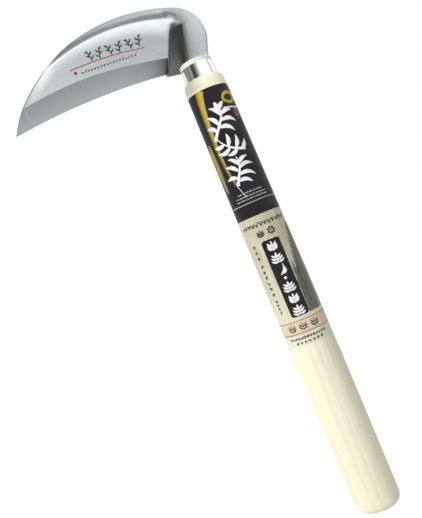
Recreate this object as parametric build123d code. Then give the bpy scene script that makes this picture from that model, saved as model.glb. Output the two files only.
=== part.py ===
from build123d import *

import os
from math import acos, atan2, cos, degrees, radians, sin, sqrt, tan

# Hand sickle for weeding: a pressed stainless steel blade on a round wooden handle.
# Lengths are in millimetres and angles in degrees.
#
# Frame: +Z runs up the handle's axis, from the butt to the head, and the origin is the centre
# of the butt face. The blade reaches out to -X at the head. Its ground face looks to -Y.
# A point of the blade's outline is given as (x, z).

# Handle: straight over the grip, then a slight straight taper up to the shoulder at the head.
handle_length = 300.0
grip_radius = 15.0
grip_top = 96.0
shoulder_radius = 13.2
shoulder_height = 284.0
butt_rounding = 5.0
head_radius = 10.2
head_rounding = 1.2

# Ferrule: a thin tube, a little wider at the bottom, in a seat cut below the handle's head. The
# head swells out over the tube's upper rim.
ferrule_bottom = 287.5
ferrule_top = 296.8
ferrule_bottom_radius = 11.0
ferrule_top_radius = 10.3
ferrule_wall = 0.6
ferrule_lip = 0.2
collar_radius = 11.5

# Plate of the blade: the neck and the rib lie in the handle's middle plane, and the web leans
# back from them, so that it is furthest behind the handle at the cutting edge.
plate = 1.6
web_tilt = 9.0
edge_height = 301.0
edge_setback = 7.4

# Outline of the blade: a long spine arc with a tighter arc at each end.
spine_centre = Vector(-39.6, 238.0)
spine_radius = 106.5
tip_arc_radius = 65.0
tip_arc_start = 130.4
tip_arc_end = 151.8
corner_arc_radius = 21.3
corner_arc_start = 67.8
edge_crown = Vector(-72.6, 303.5)
heel = Vector(-20.6, 300.6)
heel_corner = Vector(-10.4, 296.8)
neck_foot_x = 9.2
shoulder_gap = 0.05

# Pressed step between the web and the rib and neck. Each line has the top of its arc along the
# spine, that arc's radius, the x where the arc ends, a turn in the corner, and the crank's ends.
foot_crown = (-47.0, 339.5)
foot_radius = 125.0
foot_corner = (-9.5, (-6.7, 331.9), (-6.1, 329.0))
foot_end_x = -25.0
crest_crown = (-47.0, 341.5)
crest_radius = 140.0
crest_corner = (-9.0, (-1.0, 331.7), (1.7, 325.5))
crest_end_x = -9.7
press_start_x = -115.0

# Tang: the flat end of the plate, in a sawn slot.
tang_width = 10.4
tang_end = 242.0
tang_corner = 3.0
slot_gap = 0.1
slot_end = 240.0

# Cross pin through handle and tang.
pin_height = 262.0
pin_radius = 1.5
pin_half_length = 13.0
pin_hole_gap = 0.02
tang_hole_gap = 0.15

# Ground bevel: its upper line on the web, and how thin the plate is where each bevel ends.
bevel_top = [(-127, 314.0), (-103.2, 316.4), (-82.7, 319.0), (-52.2, 316.7), (-24, 313.0), (-5, 308.5)]
bevel_height = 1.3
bevel_left = 0.4
edge_left = 0.12
grind_overrun = 0.25
grind_depth = 8.0
grind_stop = 3.0

# Printed labels, wrapped round the handle.
label_thickness = 0.15
upper_label_span = (196.0, 279.0)
lower_label_span = (112.0, 195.9)

# Far side of everything that is cut away beside the blade.
outside_x = -140.0
below_z = 285.0
behind = 12.0


def save(shape, node):
    """Writes one piece to its own file."""
    export_step(shape, f"parts/{node}.step")


def polar(centre, radius, angle):
    """The point of a circle at an angle counted from +X towards +Z."""
    return centre + Vector(radius * cos(radians(angle)), radius * sin(radians(angle)))


def arc(centre, radius, start, end):
    """The stretch of a circle between two angles."""
    return ThreePointArc(*[polar(centre, radius, a) for a in (start, (start + end) / 2, end)])


tip_centre = polar(spine_centre, spine_radius - tip_arc_radius, tip_arc_start)
tip = polar(tip_centre, tip_arc_radius, tip_arc_end)


def web_y(z):
    """Where the web's ground face lies at a height."""
    return edge_setback - (z - edge_height) * tan(radians(web_tilt))


def taper_radius(z):
    """Radius of the handle at a height on its taper, between the grip and the shoulder."""
    share = (z - grip_top) / (shoulder_height - grip_top)
    return grip_radius + (shoulder_radius - grip_radius) * share


def turned(*edges):
    """The solid that a closed outline of radius and height sweeps about the handle's axis."""
    return revolve(Plane.XZ * make_face(Curve() + list(edges)), Axis.Z)


def handle():
    seat_low = (ferrule_bottom_radius - ferrule_wall, ferrule_bottom)
    seat_high = (ferrule_top_radius - ferrule_wall, ferrule_top)
    body = turned(
        Line((0, 0), (grip_radius - butt_rounding, 0)),
        RadiusArc((grip_radius - butt_rounding, 0), (grip_radius, butt_rounding), -butt_rounding),
        Line((grip_radius, butt_rounding), (grip_radius, grip_top)),
        Line((grip_radius, grip_top), (shoulder_radius, shoulder_height)),
        TangentArc((shoulder_radius, shoulder_height), (collar_radius, ferrule_bottom), tangent=(0, 1)),
        Line((collar_radius, ferrule_bottom), seat_low),
        Line(seat_low, seat_high),
        Line(seat_high, (head_radius, ferrule_top)),
        Line((head_radius, ferrule_top), (head_radius, handle_length - head_rounding)),
        RadiusArc(
            (head_radius, handle_length - head_rounding),
            (head_radius - head_rounding, handle_length),
            -head_rounding,
        ),
        Line((head_radius - head_rounding, handle_length), (0, handle_length)),
        Line((0, handle_length), (0, 0)),
    )
    slot_height = handle_length - slot_end
    slot = Pos(0, 0, slot_end + slot_height / 2) * Box(
        tang_width + 2 * slot_gap, plate + 2 * slot_gap, slot_height
    )
    return body - (slot + cross_pin(pin_radius + pin_hole_gap, grip_radius))


def cross_pin(radius, half_length):
    """A round bar through the handle's axis, along Y."""
    return Pos(0, 0, pin_height) * Rot(90, 0, 0) * Cylinder(radius, 2 * half_length)


def ferrule():
    inner_low = (ferrule_bottom_radius - ferrule_wall, ferrule_bottom)
    inner_high = (ferrule_top_radius - ferrule_wall, ferrule_top)
    outer_high = (ferrule_top_radius, ferrule_top)
    outer_low = (ferrule_bottom_radius, ferrule_bottom)
    section = make_face(Polyline(inner_low, inner_high, outer_high, outer_low, inner_low))
    return revolve(Plane.XZ * fillet(section.vertices(), ferrule_lip), Axis.Z)


def label(span):
    """A thin wrap that follows the handle's taper between two heights."""
    low, high = span
    inner_low = (taper_radius(low), low)
    inner_high = (taper_radius(high), high)
    outer_high = (taper_radius(high) + label_thickness, high)
    outer_low = (taper_radius(low) + label_thickness, low)
    return turned(Polyline(inner_low, inner_high, outer_high, outer_low, inner_low))


def blade_outline():
    """The plate's outline, seen from the ground side, as a face in the handle's middle plane."""
    corner_centre = polar(spine_centre, spine_radius - corner_arc_radius, corner_arc_start)
    shoulder_z = handle_length + shoulder_gap
    tang_side = tang_width / 2
    # The neck's side runs straight down to its foot, and touches the corner arc.
    to_foot = Vector(neck_foot_x, shoulder_z) - corner_centre
    neck_turn = acos(corner_arc_radius / to_foot.length)
    neck_angle = degrees(atan2(to_foot.Y, to_foot.X) + neck_turn)
    outline = Curve() + [
        arc(tip_centre, tip_arc_radius, tip_arc_end, tip_arc_start),
        arc(spine_centre, spine_radius, tip_arc_start, corner_arc_start),
        arc(corner_centre, corner_arc_radius, corner_arc_start, neck_angle),
        Polyline(
            polar(corner_centre, corner_arc_radius, neck_angle),
            (neck_foot_x, shoulder_z),
            (tang_side, shoulder_z),
            (tang_side, tang_end + tang_corner),
            (tang_side - tang_corner, tang_end),
            (tang_corner - tang_side, tang_end),
            (-tang_side, tang_end + tang_corner),
            (-tang_side, shoulder_z),
            (heel_corner.X, shoulder_z),
            heel_corner,
            heel,
        ),
        ThreePointArc(heel, edge_crown, tip),
    ]
    return Plane.XZ * make_face(outline)


def press_line(depth, crown, radius, corner, end_x):
    """The closed line round the pressed hollow at one level of its wall. depth gives y at a height."""

    def at(x, z):
        return Vector(x, depth(z), z)

    def on_arc(x):
        return at(x, crown[1] - radius + sqrt(radius**2 - (x - crown[0]) ** 2))

    spine_end, turn, crank_top = corner
    start = on_arc(press_start_x)
    end = on_arc(spine_end)
    crank_end = at(end_x, below_z)
    far_corner = at(outside_x, below_z)
    return Wire(
        [
            ThreePointArc(start, on_arc((press_start_x + spine_end) / 2), end),
            ThreePointArc(end, at(*turn), at(*crank_top)),
            Line(at(*crank_top), crank_end),
            Line(crank_end, far_corner),
            Line(far_corner, start),
        ]
    )


def hollow():
    """The space pressed out of the plate: from the rib's level down to the leaning web."""

    def neck_y(z):
        return -plate / 2

    foot = press_line(web_y, foot_crown, foot_radius, foot_corner, foot_end_x)
    crest = press_line(neck_y, crest_crown, crest_radius, crest_corner, crest_end_x)
    return Solid.make_loft([foot, crest], ruled=True)


def ground_away(upper, lower):
    """What a bevel takes off in front of a ruled face from an upper to a lower line."""
    over = Spline(*[u + (u - v) * grind_overrun for u, v in zip(upper, lower)])
    under = Spline(*[v + (v - u) * grind_overrun for u, v in zip(upper, lower)])
    return extrude(Face.make_surface_from_curves(over, under), grind_depth, dir=(0, -1, 0))


def bevels():
    """The wide ground bevel and the narrow one at the cutting edge, up to the crank wall."""
    edge_arc = ThreePointArc(heel, edge_crown, tip)

    def edge_z(x):
        return edge_arc.arc_center.Y + sqrt(edge_arc.radius**2 - (x - edge_arc.arc_center.X) ** 2)

    upper, middle, lower = [], [], []
    for x, z in bevel_top:
        upper.append(Vector(x, web_y(z), z))
        low = edge_z(x) + bevel_height
        middle.append(Vector(x, web_y(low) + plate - bevel_left, low))
        lower.append(Vector(x, web_y(edge_z(x)) + plate - edge_left, edge_z(x)))
    return ground_away(upper, middle) + ground_away(middle, lower)


def ground_zone():
    """Everything to the left of the crank wall, where the bevels are ground."""
    crank_top = foot_corner[2]
    low = (foot_end_x - grind_stop, below_z)
    high = (crank_top[0] - grind_stop, crank_top[1])
    border = Polyline((outside_x, below_z), low, high, (outside_x, crank_top[1]), (outside_x, below_z))
    return extrude(Plane.XZ * make_face(border), behind, both=True)


def blade():
    outline = blade_outline()
    formed = extrude(outline, behind, dir=(0, 1, 0)) & (Pos(0, plate, 0) * hollow())
    formed += extrude(outline, plate / 2, both=True)
    formed -= hollow()
    formed -= bevels() & ground_zone()
    return formed - cross_pin(pin_radius + tang_hole_gap, plate)


os.makedirs("parts", exist_ok=True)
save(blade(), "blade")
save(handle(), "handle")
save(ferrule(), "ferrule")
save(cross_pin(pin_radius, pin_half_length), "tang_pin")
save(label(upper_label_span), "upper_label")
save(label(lower_label_span), "lower_label")
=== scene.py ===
import random
from math import acos, atan2, cos, degrees, hypot, pi, radians, sin, sqrt, tan

import bmesh
import bpy
import numpy as np
from mathutils import Matrix, Vector
from mathutils.geometry import delaunay_2d_cdt


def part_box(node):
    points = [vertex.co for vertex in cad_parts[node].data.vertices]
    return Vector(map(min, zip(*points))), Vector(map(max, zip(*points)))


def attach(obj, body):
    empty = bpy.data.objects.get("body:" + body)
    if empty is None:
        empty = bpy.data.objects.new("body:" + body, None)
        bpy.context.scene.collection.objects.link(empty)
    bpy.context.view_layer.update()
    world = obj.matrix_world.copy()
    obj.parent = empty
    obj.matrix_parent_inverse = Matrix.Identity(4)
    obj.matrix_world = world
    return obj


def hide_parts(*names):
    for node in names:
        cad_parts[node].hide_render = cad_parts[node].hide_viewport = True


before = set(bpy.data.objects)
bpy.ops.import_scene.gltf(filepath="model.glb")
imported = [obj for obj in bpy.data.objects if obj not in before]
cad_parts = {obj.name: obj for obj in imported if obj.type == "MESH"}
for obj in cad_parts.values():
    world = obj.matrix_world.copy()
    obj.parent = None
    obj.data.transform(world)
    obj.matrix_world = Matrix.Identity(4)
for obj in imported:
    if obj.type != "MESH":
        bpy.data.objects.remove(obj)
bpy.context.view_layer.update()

# Hand sickle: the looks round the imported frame. Sizes are in millimetres until a mesh is made.
# +Z runs up the handle from the butt, the blade reaches to -X, and its ground face looks to -Y.
MM = 0.001
BODY = "root"
LABEL_SEED = 7
# Keeps a division away from 0.
TINY = 1e-9
# Heights in metres between which the cream ground and the gold print change their tone.
FADE_HEIGHTS = (0.114, 0.157)
FADE_HEIGHTS_GOLD = (0.225, 0.272)


def node_box(node):
    """A CAD node's lowest and highest corner in millimetres."""
    return [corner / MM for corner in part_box(node)]


TANG_END = node_box("blade")[0].z
HANDLE_TOP = node_box("handle")[1].z
GRIP_RADIUS = node_box("handle")[1].x
UPPER_SPAN = [corner.z for corner in node_box("upper_label")]
LOWER_SPAN = [corner.z for corner in node_box("lower_label")]

# ---- small helpers


def linked(name, verts, faces, materials):
    """A new object in the scene, from points in millimetres."""
    mesh = bpy.data.meshes.new(name)
    mesh.from_pydata([tuple(c * MM for c in v) for v in verts], [], faces)
    for material in materials:
        mesh.materials.append(material)
    obj = bpy.data.objects.new(name, mesh)
    bpy.context.scene.collection.objects.link(obj)
    return obj


def finished(name, verts, faces, materials, node=None, index=None):
    """A smooth object that rides on the body. It may replace a CAD node."""
    obj = linked(name, verts, faces, materials)
    mesh = obj.data
    if index is not None:
        mesh.polygons.foreach_set("material_index", index)
    mesh.polygons.foreach_set("use_smooth", [True] * len(mesh.polygons))
    mesh.validate()
    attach(obj, BODY)
    if node:
        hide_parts(node)
    return obj


def grid_faces(rows, columns, base=0):
    """Quads over rows of points that follow each other from a base number on."""
    stride = columns + 1
    corners = [base + i * stride + j for i in range(rows) for j in range(columns)]
    return [(a, a + stride, a + stride + 1, a + 1) for a in corners]


def closed_sheet(faces, count):
    """A sheet's faces, those of its back, count points further on, and walls along the borders.

    Also returns the borders as pairs of points."""
    sides = dict.fromkeys((face[i - 1], face[i]) for face in faces for i in range(len(face)))
    borders = [(i, j) for i, j in sides if (j, i) not in sides]
    back = [[i + count for i in reversed(face)] for face in faces]
    walls = [[j, i, i + count, j + count] for i, j in borders]
    return [list(face) for face in faces] + back + walls, borders


def polar(centre, radius, angle):
    """The point of a circle at an angle counted from +X towards +Z."""
    return np.array(centre) + radius * np.array([cos(radians(angle)), sin(radians(angle))])


def arc(centre, radius, start, end, step=0.8):
    """Points on a circle in the x, z plane, between two angles."""
    count = max(3, int(abs(radians(end - start)) * radius / step))
    return [polar(centre, radius, a) for a in np.linspace(start, end, count + 1)]


def circle_through(p, q, r):
    """Centre and radius of the circle through three points."""
    p, q, r = (np.array(point, float) for point in (p, q, r))
    centre = np.linalg.solve(2 * np.array([q - p, r - p]), [q @ q - p @ p, r @ r - p @ p])
    return centre, hypot(*(p - centre))


def arc_through(p, q, r, step=0.8):
    """Points on the arc from p to r through q, which turns by less than half a circle."""
    centre, radius = circle_through(p, q, r)
    start, end = [degrees(atan2(e[1] - centre[1], e[0] - centre[0])) for e in (p, r)]
    turn = (end - start + 180) % 360 - 180
    return arc(centre, radius, start, start + turn, step)


def straight(p, q, step=0.8):
    """Points on a straight line."""
    count = max(1, int(hypot(q[0] - p[0], q[1] - p[1]) / step))
    return [np.array(p) + (np.array(q) - np.array(p)) * i / count for i in range(count + 1)]


def joined(*runs):
    """One list of points from runs that meet end to end."""
    out = list(runs[0])
    for run in runs[1:]:
        out += list(run)[1:]
    return np.array(out)


def resampled(line, step):
    """The same polyline with points a step apart."""
    along = np.concatenate([[0], np.cumsum(np.hypot(*np.diff(line, axis=0).T))])
    spots = np.linspace(0, along[-1], int(along[-1] / step) + 1)
    return np.stack([np.interp(spots, along, line[:, k]) for k in (0, 1)], axis=1)


def distance_to(points, line):
    """The shortest distance from each point to a polyline."""
    best = np.full(len(points), np.inf)
    for start, run in zip(line, np.diff(line, axis=0)):
        share = np.clip(((points - start) @ run) / max(run @ run, TINY), 0, 1)
        best = np.minimum(best, np.hypot(*(points - start - share[:, None] * run).T))
    return best


def inside(points, loop):
    """Whether each point lies in a closed loop, by counting crossings."""
    x, z = points.T
    hit = np.zeros(len(points), bool)
    for (x0, z0), (x1, z1) in zip(loop, np.roll(loop, -1, axis=0)):
        if z0 != z1:
            crosses = (z0 > z) != (z1 > z)
            hit ^= crosses & (x < (x1 - x0) * (z - z0) / (z1 - z0) + x0)
    return hit


def eased(value, start, end):
    """0 up to start, 1 from end on, and a smooth turn between them. The end may be below the start."""
    share = np.clip((value - start) / (end - start), 0, 1)
    return share * share * (3 - 2 * share)


def hill(value, middle, reach):
    """1 at the middle, and falling away on both sides."""
    return np.exp(-(((value - middle) / reach) ** 2))


def soft_ramp(s, width):
    """Zero below 0 and s above it, with a rounded turn that is width wide on each side."""
    width = np.maximum(width, TINY)
    return np.where(s > width, s, np.where(s < -width, 0, (s + width) ** 2 / (4 * width)))


# ---- shape of the blade

PLATE = 1.6
WEB_TILT = 9.0
EDGE_HEIGHT = 301.0
EDGE_SETBACK = 7.4
SPINE_CENTRE = (-39.6, 238.0)
SPINE_RADIUS = 106.5
TIP_RADIUS = 65.0
TIP_START = 130.4
TIP_END = 151.8
CORNER_RADIUS = 21.3
CORNER_START = 67.8
EDGE_CROWN = (-72.6, 303.5)
HEEL = (-20.6, 300.6)
HEEL_CORNER = (-10.4, 296.8)
NECK_FOOT_X = 9.2
SHOULDER_GAP = 0.05
TANG_HALF = 5.2
TANG_CORNER = 3.0
FOOT_CROWN = (-47.0, 339.5)
FOOT_RADIUS = 125.0
FOOT_CORNER = (-9.5, (-6.7, 331.9), (-6.1, 329.0))
FOOT_END_X = -25.0
CREST_CROWN = (-47.0, 341.5)
CREST_RADIUS = 140.0
CREST_CORNER = (-9.0, (-1.0, 331.7), (1.7, 325.5))
CREST_END_X = -9.7
PRESS_START_X = -115.0
OUTSIDE_X = -140.0
BELOW_Z = 285.0
BEVEL_TOP = [
    (-127, 314.0), (-103.2, 316.4), (-82.7, 319.0),
    (-52.2, 316.7), (-24, 313.0), (-5, 308.5),
]
BEVEL_HEIGHT = 1.3
BEVEL_LEFT = 0.4
EDGE_LEFT = 0.12
# Beside the crank the bevels fade out over a few millimetres.
GRIND_STOP = 0.2
GRIND_FADE = 1.7
SHEARED_ROUNDING = 0.45
LARGEST_ROUNDING = 0.3
# The web's curl below the rib, by x: how far down it reaches, and how deep it is.
CURL_REACH = ([-115, -60, -25, -10], [6.0, 7.0, 10.0, 12.0])
CURL_DEPTH = ([-115, -75, -40, -10], [0.35, 0.65, 0.95, 1.20])
CURL_PAST_FOOT = 2.0
CURL_POWER = 1.8
# The step's least width, and the widths between which it turns into the crank.
LEAST_STEP = 1.2
CRANK_WIDTHS = (5.0, 9.0)
# How softly the step turns at its foot and at its crest, and what the crank adds to that.
STEP_FOOT_TURN = 1.5
CRANK_FOOT_TURN = -0.2
CREST_TURN = 0.12
CRANK_CREST_TURN = 2.6
CRANK_TOP = 326.0
CORNER_HEIGHTS = (322.0, 332.0)
CORNER_FLATNESS = 0.35
CRANK_HEIGHT = 22.0
# The domes of the rib and of the neck, the neck's by height, and x where one turns into the other.
RIB_DOME = 0.12
NECK_DOME = ([302, 310, 318, 326], [1.7, 1.3, 0.8, 0.55])
NECK_BLEND = (-12.0, 2.0)
DOME_REACH = 3.6
FLAT_AT_HANDLE = 3.0
EDGE_ROLL = 0.10
EDGE_ROLL_REACH = 2.0
# The mesh's steps: in the open, beside the pressed step, and in the rims inside the outline.
GRID = 0.75
FINE_GRID = 0.38
NEAR_FOOT = 3.0
NEAR_CREST = 3.5
RIMS = (0.12, 0.28, 0.5)
ROW_SHARE = 0.87
# Lines that the mesh follows: their steps, how far inside the outline they end, and their clearance.
LINE_STEP, STOP_STEP, CREST_STEP = 0.8, 0.4, 0.5
LINE_GAP, STOP_GAP, CREST_GAP = 0.02, 0.05, 0.3
BEVEL_END_X = -12.0
RIM_CLEARANCE = 0.1
GRID_CLEARANCE = 0.45 * GRID
ON_LINE = 0.01
# How the materials share the front: by distance from the sheared edge, by distance from the crank's foot
# for painted shade beside it, by x and distance from the outline at the tip for a painted highlight, and
# by the share of the way up the step and by height for painted shade on the wall.
SHEARED_REACH = 0.7
CRANK_SHADE_REACH = 8.0
TIP_HIGHLIGHT = (-93.0, 8.0)
TIP_HIGHLIGHT_GAPS = (8.0, 2.0)
WALL_FOOT = (-0.15, 0.25)
WALL_CREST = (1.45, 1.05)
WALL_WIDTHS = (6.0, 9.0)
WALL_TOP = (327.0, 324.0)


def web_y(z):
    """Where the web's front face lies at a height, before the bevels are ground."""
    return EDGE_SETBACK - (z - EDGE_HEIGHT) * tan(radians(WEB_TILT))


def spine_line():
    """The outline from the tip, along the spine and round the corner, down to the neck's foot."""
    tip_centre = polar(SPINE_CENTRE, SPINE_RADIUS - TIP_RADIUS, TIP_START)
    corner_centre = polar(SPINE_CENTRE, SPINE_RADIUS - CORNER_RADIUS, CORNER_START)
    foot = np.array([NECK_FOOT_X, HANDLE_TOP + SHOULDER_GAP])
    run, rise = foot - corner_centre
    neck_angle = degrees(atan2(rise, run) + acos(CORNER_RADIUS / hypot(run, rise)))
    return joined(
        arc(tip_centre, TIP_RADIUS, TIP_END, TIP_START),
        arc(SPINE_CENTRE, SPINE_RADIUS, TIP_START, CORNER_START),
        arc(corner_centre, CORNER_RADIUS, CORNER_START, neck_angle),
        straight(polar(corner_centre, CORNER_RADIUS, neck_angle), foot),
    )


def tang_line():
    """The outline round the tang and the heel's shoulder, from the neck's foot to the heel."""
    top = HANDLE_TOP + SHOULDER_GAP
    bevelled = [(TANG_HALF, TANG_END + TANG_CORNER), (TANG_HALF - TANG_CORNER, TANG_END)]
    side = [(TANG_HALF, top), *bevelled]
    mirrored = [(-x, z) for x, z in reversed(side)]
    corners = [(NECK_FOOT_X, top), *side, *mirrored, (HEEL_CORNER[0], top), HEEL_CORNER, HEEL]
    return joined(*[straight(p, q) for p, q in zip(corners, corners[1:])])


def press_line(crown, radius, corner, end_x):
    """One side of the pressed step: along the spine, round the corner and down the crank."""

    def on_arc(x):
        return (x, crown[1] - radius + sqrt(radius**2 - (x - crown[0]) ** 2))

    spine_end, turn, crank_top = corner
    return joined(
        arc_through(on_arc(PRESS_START_X), on_arc((PRESS_START_X + spine_end) / 2), on_arc(spine_end)),
        arc_through(on_arc(spine_end), turn, crank_top, 0.3),
        straight(crank_top, (end_x, BELOW_Z)),
    )


SPINE = spine_line()
TIP = tuple(SPINE[0])
EDGE_CENTRE, EDGE_ARC_RADIUS = circle_through(HEEL, EDGE_CROWN, TIP)
OUTLINE = joined(SPINE, tang_line(), arc_through(HEEL, EDGE_CROWN, TIP))[:-1]
BLUNT_OUTLINE = joined(SPINE, tang_line())
FOOT = press_line(FOOT_CROWN, FOOT_RADIUS, FOOT_CORNER, FOOT_END_X)
CREST = press_line(CREST_CROWN, CREST_RADIUS, CREST_CORNER, CREST_END_X)
FAR_CORNER = np.array([[OUTSIDE_X, BELOW_Z]])
BEVEL_CURVE = np.polyfit(*(np.array(BEVEL_TOP).T), len(BEVEL_TOP) - 2)


def edge_z(x):
    """Height of the cutting edge."""
    return EDGE_CENTRE[1] + np.sqrt(EDGE_ARC_RADIUS**2 - (x - EDGE_CENTRE[0]) ** 2)


def bevel_top_z(x):
    """Height of the wide bevel's upper line."""
    return np.polyval(BEVEL_CURVE, x)


def signed(points, line):
    """Distance to a press line, positive on the side of the rib and the neck."""
    hollow = inside(points, np.vstack([line, FAR_CORNER]))
    return np.where(hollow, -1, 1) * distance_to(points, line)


def pressed(points):
    """The pressed plate before grinding.

    Returns, for each point, the front face's y, the share of the way up the step, the distance
    from the step's foot and the step's width."""
    from_foot = signed(points, FOOT)
    to_crest = -signed(points, CREST)
    width = np.maximum(from_foot + to_crest, LEAST_STEP)
    x, z = points.T
    web = web_y(z)
    rise = web + PLATE / 2
    on_crank = eased(width, *CRANK_WIDTHS)
    # Below the rib the web curls up to the step over several millimetres.
    up_spine = np.hypot(x - FOOT_CROWN[0], z - FOOT_CROWN[1] + FOOT_RADIUS) - FOOT_RADIUS
    reach = np.interp(x, *CURL_REACH)
    curl_share = np.clip((up_spine + reach) / (reach + CURL_PAST_FOOT), 0, 1)
    curled = np.interp(x, *CURL_DEPTH) * curl_share**CURL_POWER
    steep = soft_ramp(from_foot / width, (STEP_FOOT_TURN + CRANK_FOOT_TURN * on_crank) / width)
    # The step is flatter at its foot, most of all where it turns the corner.
    steep = np.maximum(steep, 0) ** (1 + CORNER_FLATNESS * eased(z, *CORNER_HEIGHTS))
    share = (curled + (rise - curled) * steep) / rise
    crest_turn = CREST_TURN + CRANK_CREST_TURN * np.clip((CRANK_TOP - z) / CRANK_HEIGHT, 0, 1)
    share = 1 - soft_ramp(1 - share, crest_turn / width)
    # Past the crest the rib and the neck are slightly domed.
    past = soft_ramp(-to_crest, crest_turn)
    dome = RIB_DOME + (np.interp(z, *NECK_DOME) - RIB_DOME) * eased(x, *NECK_BLEND)
    settled = dome * np.exp(-past / DOME_REACH) * eased(z, HANDLE_TOP, HANDLE_TOP + FLAT_AT_HANDLE)
    return web - (rise - settled) * share, from_foot / width, from_foot, width


def ground(points, from_foot):
    """How deep the bevels are ground below the pressed face."""
    x, z = points.T
    top, edge = bevel_top_z(x), edge_z(x)
    middle = edge + BEVEL_HEIGHT
    wide = (PLATE - BEVEL_LEFT) * np.clip((top - z) / (top - middle), 0, 1)
    narrow = (BEVEL_LEFT - EDGE_LEFT) * np.clip((middle - z) / BEVEL_HEIGHT, 0, 1)
    fade = np.clip((-from_foot - GRIND_STOP) / GRIND_FADE, 0, 1)
    return (wide + narrow) * fade


def front_y(points):
    """Where the finished front face lies."""
    y, _, from_foot, _ = pressed(points)
    return y + ground(points, from_foot)


def inset(loop, distance):
    """A closed loop moved inwards. The loop runs clockwise in x, z."""
    ahead = np.roll(loop, -1, axis=0) - np.roll(loop, 1, axis=0)
    ahead /= np.maximum(np.hypot(*ahead.T), TINY)[:, None]
    return loop + distance * np.stack([ahead[:, 1], -ahead[:, 0]], axis=1)


def hex_grid(step):
    """Points inside the outline in staggered rows."""
    low, high = OUTLINE.min(0), OUTLINE.max(0)
    rows = []
    for row, z in enumerate(np.arange(low[1], high[1], step * ROW_SHARE)):
        xs = np.arange(low[0] + (step / 2 if row % 2 else 0), high[0], step)
        rows.append(np.stack([xs, np.full(len(xs), z)], axis=1))
    grid = np.vstack(rows)
    return grid[inside(grid, OUTLINE)]


def near_step(points):
    """Whether the pressed step is close by, where the face turns quickly."""
    from_foot = signed(points, FOOT)
    to_crest = -signed(points, CREST)
    return (from_foot > -NEAR_FOOT) & (to_crest > -NEAR_CREST) & (points[:, 1] > HANDLE_TOP)


def blade_points():
    """Points for the blade's mesh: the bevel, stop and crest lines, the rims and a grid."""
    xs = np.arange(OUTLINE[:, 0].min() - 1, BEVEL_END_X, LINE_STEP)
    lines = []
    for heights in (bevel_top_z(xs), edge_z(xs) + BEVEL_HEIGHT):
        line = np.stack([xs, heights], axis=1)
        lines.append(line[inside(line, inset(OUTLINE, LINE_GAP)) & (signed(line, FOOT) < 0)])
    crank = np.array([FOOT_CORNER[2], (FOOT_END_X, BELOW_Z)])
    run = (crank[1] - crank[0]) / np.hypot(*(crank[1] - crank[0]))
    for gap in (GRIND_STOP, GRIND_STOP + GRIND_FADE):
        stop = resampled(crank + gap * np.array([run[1], -run[0]]), STOP_STEP)
        keep = inside(stop, inset(OUTLINE, STOP_GAP)) & (stop[:, 1] < bevel_top_z(stop[:, 0]) + 0.6)
        lines.append(stop[keep])
    crest = resampled(CREST, CREST_STEP)
    lines.append(crest[inside(crest, inset(OUTLINE, CREST_GAP)) & (crest[:, 1] > CRANK_TOP - 3)])
    coarse, fine = hex_grid(GRID), hex_grid(FINE_GRID)
    grid = np.vstack([coarse[~near_step(coarse)], fine[near_step(fine)]])
    grid = grid[distance_to(grid, np.vstack([OUTLINE, OUTLINE[:1]])) > GRID]
    for line in lines:
        grid = grid[distance_to(grid, line) > GRID_CLEARANCE]
    return lines, [inset(OUTLINE, rim) for rim in RIMS], grid


def blade_mesh():
    """Flat points and triangles of the blade, and the lines that the triangles follow."""
    lines, rims, grid = blade_points()
    points = [OUTLINE]
    edges = [(i, (i + 1) % len(OUTLINE)) for i in range(len(OUTLINE))]
    total = len(OUTLINE)
    for line in lines:
        points.append(line)
        edges += [(total + i, total + i + 1) for i in range(len(line) - 1)]
        total += len(line)
    for rim in rims:
        kept = rim[inside(rim, OUTLINE)]
        for line in lines:
            kept = kept[distance_to(kept, line) > RIM_CLEARANCE]
        points.append(kept)
    flat = [Vector(p) for p in np.vstack([*points, grid])]
    got = delaunay_2d_cdt(flat, edges, [list(range(len(OUTLINE)))], 1, 1e-5)
    return np.array([tuple(v) for v in got[0]]), np.array([list(f) for f in got[2]]), lines


def triangle_kinds(flat, tris, from_foot):
    """0 on the web, 1 on the wide bevel and 2 on the narrow one."""
    x, z = flat[tris].mean(1).T
    bevel = np.where(z < edge_z(x) + BEVEL_HEIGHT, 2, np.where(z < bevel_top_z(x), 1, 0))
    return bevel * (from_foot[tris].mean(1) < -GRIND_STOP)


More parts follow.
